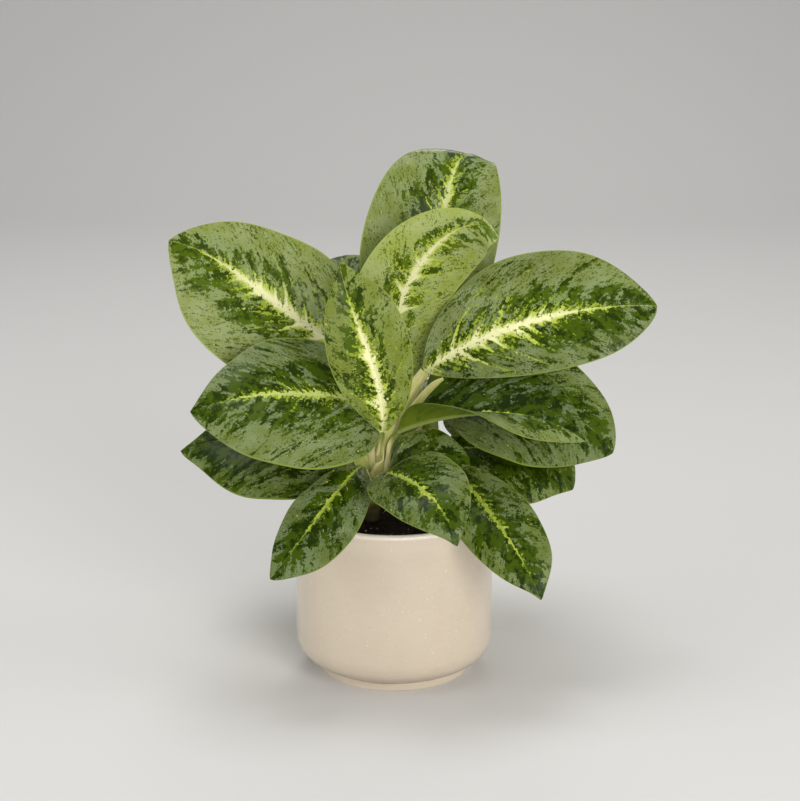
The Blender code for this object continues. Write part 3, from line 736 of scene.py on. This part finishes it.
def half_width(leaf, u, v):
    """The blade's half-width at shares of its length, on the side that v is on."""
    widths = []
    for side in (0, 1):
        full = leaf.get("full", FULL)[side]
        sharp = leaf.get("sharp", SHARP)[side]
        widest = full / (full + sharp)
        shape = (u / widest) ** full * ((1 - u) / (1 - widest)) ** sharp
        widths.append(leaf["halves"][side] * MM * shape)
    width = np.where(v < 0, widths[0], widths[1])
    width = width * (1 - leaf.get("point", POINT) * np.exp(-((1 - u) / POINT_LENGTH) ** 2))
    return np.hypot(width, BASE_HALF * (1 - u) ** 6)


def blade_shares():
    """Shares along the blade, closer at its ends, and across it, closer at the rib."""
    even = np.linspace(0.0, 1.0, ROWS)
    along = (even + (1 - np.cos(math.pi * even)) / 2) / 2
    across = np.linspace(-1.0, 1.0, COLUMNS + 1)
    across = np.sign(across) * np.abs(across) ** COLUMN_CROWDING
    return np.meshgrid(along, across, indexing="ij")


def blade_surface(leaf, u, v):
    """Points of the folded and curled blade, and the way its upper side looks at each."""
    across, out = leaf_axes(leaf, u)
    side = np.where(v < 0, -1.0, 1.0)
    base_fold, tip_fold = leaf.get("fold", FOLD)
    fold = np.radians(tip_fold + (base_fold - tip_fold) * (1 - u) ** leaf.get("ease", EASE))
    curl = math.radians(leaf.get("curl", CURL))
    half = half_width(leaf, u, v)
    bend = fold - curl * np.abs(v)
    sideways = half * (np.sin(fold) - np.sin(bend)) / curl * side
    raised = half * (np.cos(bend) - np.cos(fold)) / curl
    points = through(leaf["midrib"], u) + across * sideways[..., None] + out * raised[..., None]
    normal = out * np.cos(bend)[..., None] - across * (side * np.sin(bend))[..., None]
    return points, normal


def blade_relief(number, along, aside, u, v):
    """How far the upper side rises: a furrow over the rib, soft folds between veins, and a wave."""
    off = np.abs(aside)
    side = np.where(v < 0, -1.0, 1.0)
    root = along - off * (VEIN_SLOPE + VEIN_BEND * off / CM)
    open_part = np.sin(math.pi * u) ** 0.5
    furrow = -FURROW_DEPTH * np.exp(-(off / FURROW_HALF) ** 2) * (1 - u) ** 0.6
    quilt = VEIN_RELIEF * np.sin(math.tau * root / VEIN_SPACING + side) * open_part
    quilt = quilt * smooth(0.0, 4 * MM, off) * smooth(1.0, 0.8, np.abs(v))
    wave = WAVE_HEIGHT * np.sin(math.tau * (WAVES * u + 0.37 * number + 0.2 * side))
    wave = wave * open_part * np.abs(v) ** 3
    return furrow + quilt + wave


def blade_thickness(aside, u, v):
    """Thinner at the margin and the tip, and thicker by the rib below."""
    thick = between(BLADE_THICKNESS, MARGIN_THICKNESS, v ** 4)
    thick = thick + RIB_DEPTH * np.exp(-(np.abs(aside) / RIB_HALF) ** 2) * (1 - u) ** 0.8
    return thick * (0.35 + 0.65 * smooth(0.0, 0.03, 1 - u))


def blade_faces(rows, columns):
    """Quads of the upper side, the lower side and the edge all round."""
    count = rows * columns
    faces = grid_faces(rows, columns, 0, False, True)
    faces += grid_faces(rows, columns, count, False, False)
    for i in range(rows - 1):
        a = i * columns
        b = a + columns
        faces.append((a, a + count, b + count, b))
        faces.append((a + columns - 1, b + columns - 1, b + columns - 1 + count, a + columns - 1 + count))
    for j in range(columns - 1):
        faces.append((j, j + 1, j + 1 + count, j + count))
        a = (rows - 1) * columns + j
        faces.append((a + 1, a, a + count, a + 1 + count))
    return faces


def mark_blade(piece, number, leaf, along, aside, u, v):
    """Stores where each point lies on the blade and how the blade looks there."""
    # The lightness of a leaf and of each half is partly painted light and shade.
    tone, darkness, cream, warmth = leaf["look"]
    if "second" in leaf:
        tone = np.where(v > 0, leaf["second"][0], tone)
        darkness = np.where(v > 0, leaf["second"][1], darkness)
    # The blade's base is darkened as painted shade.
    tone = tone * (1 - leaf.get("base_shade", 0.0) * smooth(0.5, 0.1, u))
    both = np.ones((2, *u.shape))
    upper = both * [[[1.0]], [[0.0]]]
    give(piece, "leaf_at", both * along / CM, aside / CM, LEAF_SEED * number)
    give(piece, "leaf_in", both * u, v, tone)
    give(piece, "leaf_look", upper, darkness, cream)
    give(piece, "leaf_light", both * warmth, leaf.get("rib_end", RIB_END), 0.0)


def make_blade(number, leaf, material):
    """A thin curved blade, furrowed over its rib and rounded below it, closed all round."""
    u, v = blade_shares()
    along = lengths_along(through(leaf["midrib"], u[:, 0]))[:, None] + 0.0 * v
    aside = half_width(leaf, u, v) * v
    points, normal = blade_surface(leaf, u, v)
    points = points + normal * blade_relief(number, along, aside, u, v)[..., None]
    if "droop" in leaf:
        depth, middle, span = leaf["droop"]
        fall = depth * MM * np.exp(-((u - middle) / span) ** 2) * smooth(0.05, 1.0, v)
        points = points - fall[..., None] * (0.0, 0.0, 1.0)
    below = points - normal * blade_thickness(aside, u, v)[..., None]
    sides = np.stack([points, below])
    name = leaf["name"].replace("leaf_", "blade_")
    piece = make_piece(name, sides, blade_faces(*u.shape), material, [leaf["name"]])
    mark_blade(piece, number, leaf, along, aside, u, v)


# Stalks and stems

def stalk_route(leaf, t):
    """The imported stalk's route: out of the stem, and into the rib under the blade."""
    root = through(STEMS[leaf["stem"]], leaf["level"])
    base = through(leaf["midrib"], 0.0)
    aside = (base - root) * (1.0, 1.0, 0.0)
    lean = min(np.linalg.norm(aside) / STALK_LEAN, 1.0)
    rise = unit(unit(aside) * lean + (0.0, 0.0, STALK_RISE))
    along = direction(leaf["midrib"], 0.0)
    reach = np.linalg.norm(base - root)
    root_handle = root + rise * reach * STALK_ROOT_HANDLE
    top_handle = base - along * reach * STALK_TOP_HANDLE
    weights = ((1 - t) ** 3, 3 * t * (1 - t) ** 2, 3 * t ** 2 * (1 - t), t ** 3)
    handles = (root, root_handle, top_handle, base)
    route = sum(w[:, None] * h for w, h in zip(weights, handles))
    under = leaf_axes(leaf, np.array(0.0))[1]
    return route - under * STALK_TOP_RADIUS * t[:, None]


def strip_shares():
    """Where each point of a curved strip's outline lies, from one edge (-1) to the other (1)."""
    outer = np.linspace(-1.0, 1.0, STRIP)
    return np.concatenate([outer, [1.0], outer[::-2], [-1.0]])


def crescent(centre, out, across, radius, wall, turn):
    """The outline of a curved strip: its outer side, then its inner side back."""
    shares = strip_shares()
    angles = np.radians(turn) * shares
    reach = np.full(shares.shape, radius + wall / 2)
    inner = slice(STRIP + 1, -1)
    thin = 1 - 0.6 * np.abs(shares[inner]) ** 3
    reach[inner] = np.maximum(radius + wall / 2 - wall * thin, 0.15 * MM)
    reach[[STRIP, -1]] = radius + wall * 0.3
    angles[[STRIP, -1]] *= 1 + 0.12 * wall / radius
    rings = out * np.cos(angles)[:, None] + across * np.sin(angles)[:, None]
    return centre + rings * reach[:, None]


def sheath_foot(centre, upright, outward, stem_radius):
    """Rings of the sheath below the place where the stalk leaves the stem."""
    across = unit(np.cross(upright, outward))
    rings = []
    for drop in DROP_SHARES:
        middle = centre - upright * SHEATH_DROP * drop
        radius = stem_radius + SHEATH_WALL * (0.45 - 0.5 * drop)
        rings.append(crescent(middle, outward, across, radius, SHEATH_WALL, SHEATH_TURN))
    return rings


def stalk_rings(leaf, t, route):
    """Rings of the sheath and of the channel that it closes to on its way to the blade."""
    travel = unit(np.gradient(route, axis=0))
    upright = direction(STEMS[leaf["stem"]], leaf["level"])
    outward = unit((route[-1] - route[0]) * (1.0, 1.0, 0.0))
    under = -leaf_axes(leaf, np.array(0.0))[1]
    stem_radius = STEM_RADIUS + (STEM_TOP_RADIUS - STEM_RADIUS) * leaf["level"]
    open_share = smooth(1.0, 0.0, t) ** leaf.get("sheath", SHEATH_POWER)
    channel = CHANNEL_RADIUS * leaf.get("channel", 1.0)
    hug_share = smooth(0.35, 0.0, t)
    rings = sheath_foot(route[0], upright, outward, stem_radius)
    for i in range(len(t)):
        level = unit(between(travel[i], upright, float(smooth(0.4, 0.0, t[i]))))
        down = between(outward, under, float(smooth(0.2, 0.9, t[i])))
        down = unit(down - level * np.dot(down, level))
        across = np.cross(level, down)
        radius = between(channel, stem_radius + SHEATH_WALL / 2, open_share[i])
        wall = between(CHANNEL_WALL, SHEATH_WALL, min(open_share[i] * 2, 1.0))
        turn = between(CHANNEL_TURN, SHEATH_TURN, hug_share[i])
        turn -= WING_OPENING * math.sin(math.pi * t[i]) ** 2
        rings.append(crescent(route[i], down, across, radius, wall, turn))
    return rings


def make_stalk(number, leaf, material):
    """A channelled stalk that opens into a sheath hugging its stem."""
    t = np.linspace(0.0, 1.0, STALK_ROWS)
    route = stalk_route(leaf, t)
    rings = stalk_rings(leaf, t, route)
    side = len(rings[0])
    name = leaf["name"].replace("leaf_", "stalk_")
    piece = make_tube(name, rings, material, leaf["name"])
    drops = -SHEATH_DROP * np.array(DROP_SHARES)
    along = np.repeat(np.concatenate([drops, lengths_along(route)]) / CM, side)
    aside = np.tile(strip_shares(), len(rings))
    share = np.repeat(np.concatenate([0.0 * drops, t]), side)
    height = np.array(rings)[..., 2].ravel()
    above_soil = smooth(SOIL_LEVEL + 4 * MM, SOIL_LEVEL + 30 * MM, height)
    give(piece, "leaf_at", along, aside, STALK_SEED * number)
    give(piece, "leaf_in", share, leaf["look"][0], above_soil)


def make_sheath(number, sheath, material):
    """A loose sheath: a curved strip that narrows to its tip."""
    t = np.linspace(0.0, 1.0, STALK_ROWS)
    route = through(sheath["path"], t)
    travel = unit(np.gradient(route, axis=0))
    face = np.array(sheath["face"])
    steps = np.linspace(0.0, 1.0, len(sheath["radii"]))
    radii = np.interp(t, steps, sheath["radii"]) * MM
    rings = []
    for i in range(STALK_ROWS):
        out = unit(face - travel[i] * np.dot(face, travel[i]))
        across = np.cross(travel[i], out)
        wall = min(SHEATH_WALL, radii[i] * 0.8)
        rings.append(crescent(route[i] - out * radii[i], out, across, radii[i], wall, LOOSE_TURN))
    piece = make_tube(sheath["name"], rings, material, sheath["node"])
    along = np.repeat(lengths_along(route) / CM, len(rings[0]))
    aside = np.tile(strip_shares(), len(rings))
    shade = np.full(along.shape, sheath["shade"])
    give(piece, "leaf_at", along, aside, LOOSE_SEED + number)
    give(piece, "leaf_in", shade, sheath["tone"], 1.0)


def make_stem(name, material):
    """A short stem with a scar ring where each old leaf was, and a rounded top."""
    path = STEMS[name]
    t = np.linspace(0.0, 1.0, STEM_ROWS)
    route = through(path, t)
    length = np.linalg.norm(route[-1] - route[0])
    travel = direction(path, t)
    across = unit(np.cross(travel, (0.0, -1.0, 0.0)))
    out = np.cross(travel, across)
    scar = np.exp(-((t * length / SCAR_SPACING) % 1.0 - 0.5) ** 2 / SCAR_SPREAD)
    radius = STEM_RADIUS + (STEM_TOP_RADIUS - STEM_RADIUS) * t + SCAR_HEIGHT * scar
    dome = np.clip((1 - t) * length / STEM_TOP_RADIUS, 0.0, 1.0)
    radius = radius * np.sqrt(np.clip(1 - (1 - dome) ** 2, 0.02, 1.0))
    angles = np.linspace(0.0, math.tau, STEM_SIDES, endpoint=False)
    ring = across[:, None] * np.cos(angles)[None, :, None] + out[:, None] * np.sin(angles)[None, :, None]
    rings = route[:, None] + ring * radius[:, None, None]
    piece = make_tube(name + "_ringed", rings, material, name)
    height = np.repeat((route[:, 2] - SOIL_LEVEL) / CM + 1.0, STEM_SIDES)
    give(piece, "leaf_at", height, np.repeat(scar, STEM_SIDES), 0.0)


# Soil and pot

def turned_piece(name, profile, sides, material, nodes, lift=None):
    """A closed shape turned from a profile whose first and last points are on the axis."""
    angles = np.linspace(0.0, math.tau, sides, endpoint=False)
    points = [(0.0, 0.0, profile[0][1])]
    for x, z in profile[1:-1]:
        for a in angles:
            point = Vector((x * math.cos(a), x * math.sin(a), z))
            if lift:
                point.z += lift(point)
            points.append(tuple(point))
    points.append((0.0, 0.0, profile[-1][1]))
    rows = len(profile) - 2
    faces = grid_faces(rows, sides, 1, True, True)
    last = len(points) - 1
    ring = 1 + (rows - 1) * sides
    for j in range(sides):
        k = (j + 1) % sides
        faces.append((0, 1 + j, 1 + k))
        faces.append((last, ring + k, ring + j))
    make_piece(name, points, faces, material, nodes)


def inner_profile(gap, steps):
    """The hollow of the pot from the floor's centre up to the neck, drawn in by a gap."""
    corner = SHOULDER_RADIUS - WALL
    centre = (POT_RADIUS - WALL - corner, FLOOR + corner)
    points = [(0.0, FLOOR + gap)]
    points += arc(centre, corner - gap, -90, 0, steps)
    points.append((POT_RADIUS - WALL - gap, BELLY_HEIGHT))
    points.append((NECK_RADIUS - WALL - gap, NECK_HEIGHT))
    return points


def make_pot(material):
    lip = WALL / 2
    shoulder = (POT_RADIUS - SHOULDER_RADIUS, SHOULDER_HEIGHT)
    foot = FOOT_RADIUS - FOOT_EDGE
    profile = inner_profile(0.0, 12)
    profile += arc((RIM_RADIUS - lip, POT_HEIGHT - lip), lip, 180, 0, 16)
    profile += [(NECK_RADIUS, NECK_HEIGHT), (POT_RADIUS, BELLY_HEIGHT)]
    profile += arc(shoulder, SHOULDER_RADIUS, 0, -SHOULDER_TURN, 20)
    profile += [(GROOVE_RADIUS, FOOT_HEIGHT + GROOVE_DEPTH)]
    profile += arc((foot, FOOT_HEIGHT - FOOT_EDGE), FOOT_EDGE, 90, 0, 6)
    profile += arc((foot, FOOT_EDGE), FOOT_EDGE, 0, -90, 6)
    profile += [(0.0, 0.0)]
    profile.reverse()
    turned_piece("glazed_pot", profile, POT_SIDES, material, ["pot"])


def soil_height(x, y):
    """How far the loose surface stands above its even crown."""
    place = Vector((x, y, 0.0))
    lumps = noise.fractal(place * LUMP_SCALE, 0.9, 2.1, 4)
    hollows = noise.noise(place * HOLLOW_SCALE)
    return LUMP_HEIGHT * (0.45 * lumps + 0.5 * hollows - 0.35)


def crown(radius):
    return SOIL_LEVEL - SOIL_CROWN * (radius / RIM_RADIUS) ** 4


def make_soil(material):
    """Loose potting mix that fills the pot, lumpy on top."""
    edge = RIM_RADIUS - WALL - SOIL_GAP
    profile = inner_profile(SOIL_GAP, 6)
    top = []
    for i in range(SOIL_RINGS):
        share = 1 - i / SOIL_RINGS
        top.append((edge * share, crown(edge * share)))
    profile += top + [(0.0, SOIL_LEVEL)]

    def lift(point):
        if point.z < NECK_HEIGHT + WALL:
            return 0.0
        return soil_height(point.x, point.y)

    turned_piece("potting_mix", profile, SOIL_SIDES, material, ["soil"], lift)


def make_crumbs(material):
    """Crumbs of bark, peat and grit that lie half sunk in the soil."""
    draw = np.random.default_rng(CRUMB_SEED)
    bm = bmesh.new()
    bmesh.ops.create_icosphere(bm, subdivisions=1, radius=1.0)
    ball = np.array([vert.co for vert in bm.verts])
    ball_faces = [tuple(vert.index for vert in face.verts) for face in bm.faces]
    bm.free()
    reach = RIM_RADIUS - WALL - 2 * MM
    points = []
    faces = []
    kinds = []
    for _ in range(CRUMBS):
        radius = reach * math.sqrt(draw.random())
        turn = math.tau * draw.random()
        x = radius * math.cos(turn)
        y = radius * math.sin(turn)
        size = CRUMB_SIZE + CRUMB_SPREAD * draw.random() ** 2.5
        spin = unit(draw.normal(size=(3, 3)))
        axes = np.linalg.qr(spin)[0] * size * (1.0, 0.55 + 0.4 * draw.random(), 0.45 + 0.4 * draw.random())
        shape = (ball * (1 + 0.22 * draw.normal(size=(len(ball), 1)))) @ axes.T
        z = crown(radius) + soil_height(x, y) + 0.15 * size
        faces += [tuple(len(points) + k for k in face) for face in ball_faces]
        points += (shape + (x, y, z)).tolist()
        kinds += [draw.random()] * len(ball)
    kinds = np.array(kinds)
    piece = make_piece("soil_crumbs", points, faces, material, [])
    give(piece, "crumb", kinds, (kinds * 37.0) % 1.0, 0.0)


# Stage

def make_floor():
    """A pale floor that curves up into a backdrop far behind."""
    r = Recipe("pale_floor")
    r.use("Base Color", (0.72, 0.71, 0.69, 1.0))
    r.use("Roughness", 0.85)
    profile = [(-FLOOR_REACH, 0.0), (BACKDROP_START, 0.0)]
    profile += arc((BACKDROP_START, BACKDROP_RADIUS), BACKDROP_RADIUS, -85, 0, 17)
    profile.append((BACKDROP_START + BACKDROP_RADIUS, FLOOR_REACH))
    points = [(x, y, z) for y, z in profile for x in (-FLOOR_REACH, FLOOR_REACH)]
    mesh = bpy.data.meshes.new("floor")
    mesh.from_pydata(points, [], grid_faces(len(profile), 2, 0, False, False))
    mesh.materials.append(r.material)
    mesh.shade_smooth()
    floor = new_object("floor", mesh)


def add_light(name, place, height, size, power, colour):
    light = bpy.data.lights.new(name, "AREA")
    light.shape = "DISK"
    light.size = size
    light.energy = power
    light.color = colour
    item = new_object(name, light)
    item.location = place
    item.rotation_euler = (Vector((0.0, 0.0, height)) - Vector(place)).to_track_quat("-Z", "Y").to_euler()


def make_light():
    world = bpy.data.worlds.new("studio")
    world.use_nodes = True
    background = world.node_tree.nodes["Background"]
    background.inputs["Color"].default_value = SKY_COLOUR
    background.inputs["Strength"].default_value = SKY_STRENGTH
    bpy.context.scene.world = world
    for light in LIGHTS:
        add_light(*light)


def make_camera():
    data = bpy.data.cameras.new("camera")
    data.lens = CAMERA_LENS
    data.sensor_width = SENSOR
    camera = new_object("camera", data)
    camera.location = CAMERA_PLACE
    camera.rotation_euler = (math.radians(CAMERA_TILT), 0.0, 0.0)
    bpy.context.scene.camera = camera


def main():
    make_camera()
    make_light()
    make_floor()
    bpy.context.scene.view_settings.view_transform = "Standard"
    make_pot(ceramic_material())
    make_soil(soil_material())
    make_crumbs(crumb_material())
    stem_look = stem_material()
    for name in STEMS:
        make_stem(name, stem_look)
    leaf_look = leaf_material()
    stalk_look = stalk_material()
    for number, leaf in enumerate(LEAVES):
        make_blade(number, leaf, leaf_look)
        make_stalk(number, leaf, stalk_look)
    for number, sheath in enumerate(SHEATHS):
        make_sheath(number, sheath, stalk_look)


main()
